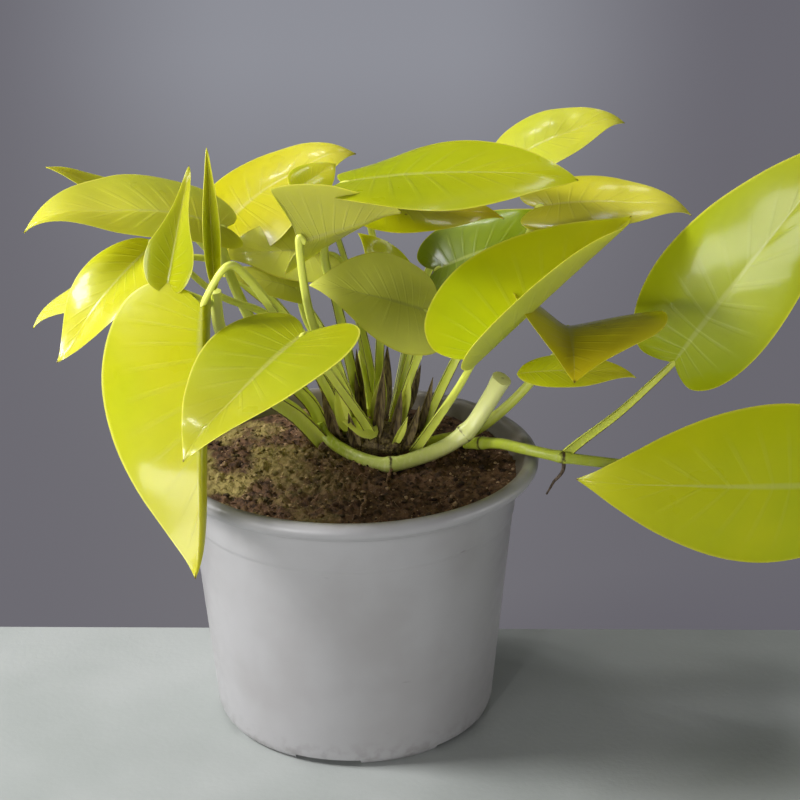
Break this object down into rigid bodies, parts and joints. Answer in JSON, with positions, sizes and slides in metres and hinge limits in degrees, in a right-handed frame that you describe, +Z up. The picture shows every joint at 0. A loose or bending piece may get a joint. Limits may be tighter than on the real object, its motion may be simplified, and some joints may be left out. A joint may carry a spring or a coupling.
{
  "type": "potted pothos plant",
  "caption": "Golden pothos with heart-shaped lime yellow leaves on long petioles and a trailing vine, growing in a flared grey nursery pot of soil.",
  "frame": {"origin": "centre of the flat underside of the pot", "axes": "+Z up along the pot's axis; +X towards the side that the vine trails over; -Y towards the side that most leaves face"},
  "size_m": [0.2749, 0.1534, 0.2021],
  "materials": {
    "leaf_lemon": "thin waxy living leaf, lemon yellow green",
    "leaf_yellow": "thin waxy living leaf, golden yellow",
    "leaf_green": "thin waxy living leaf, lime green",
    "leaf_olive": "thin waxy living leaf, shaded olive yellow",
    "petiole": "smooth green living stalk",
    "pale_stem": "smooth pale green living stem",
    "root": "dry brown root",
    "soil": "loose dark potting soil",
    "pot": "satin grey moulded plastic"
  },
  "bodies": {
    "root": {"aerial_root": "root", "leaf_behind_right": "leaf_green", "leaf_centre": "leaf_green", "leaf_curled_right": "leaf_olive", "leaf_front_left": "leaf_lemon", "leaf_front_left_hanging": "leaf_lemon", "leaf_front_right": "leaf_green", "leaf_inner_left": "leaf_lemon", "leaf_left_back": "leaf_lemon", "leaf_left_low": "leaf_lemon", "leaf_left_low_back": "leaf_lemon", "leaf_left_spear": "leaf_lemon", "leaf_left_upper": "leaf_lemon", "leaf_left_young": "leaf_lemon", "leaf_middle_left": "leaf_olive", "leaf_narrow_inner": "leaf_green", "leaf_olive_middle": "leaf_olive", "leaf_right_pointing": "leaf_yellow", "leaf_small_upper": "leaf_lemon", "leaf_stem_end": "leaf_lemon", "leaf_top": "leaf_green", "leaf_top_back": "leaf_lemon", "leaf_under_top": "leaf_lemon", "leaf_vine_lower": "leaf_lemon", "leaf_vine_upper": "leaf_lemon", "leaf_yellow_upper": "leaf_yellow", "left_shoot": "petiole", "main_stem": "pale_stem", "petiole_behind_right": "petiole", "petiole_centre": "petiole", "petiole_curled_right": "petiole", "petiole_front_left": "petiole", "petiole_front_left_hanging": "petiole", "petiole_front_right": "petiole", "petiole_inner_left": "petiole", "petiole_left_back": "petiole", "petiole_left_low": "petiole", "petiole_left_low_back": "petiole", "petiole_left_upper": "petiole", "petiole_left_young": "petiole", "petiole_middle_left": "petiole", "petiole_narrow_inner": "petiole", "petiole_olive_middle": "petiole", "petiole_right_pointing": "petiole", "petiole_small_upper": "petiole", "petiole_top": "petiole", "petiole_top_back": "petiole", "petiole_under_top": "petiole", "petiole_vine_lower": "petiole", "petiole_vine_upper": "petiole", "petiole_yellow_upper": "petiole", "pot": "pot", "side_vine": "petiole", "soil": "soil", "stem_root": "root", "surface_root": "root"}
  },
  "joints": []
}
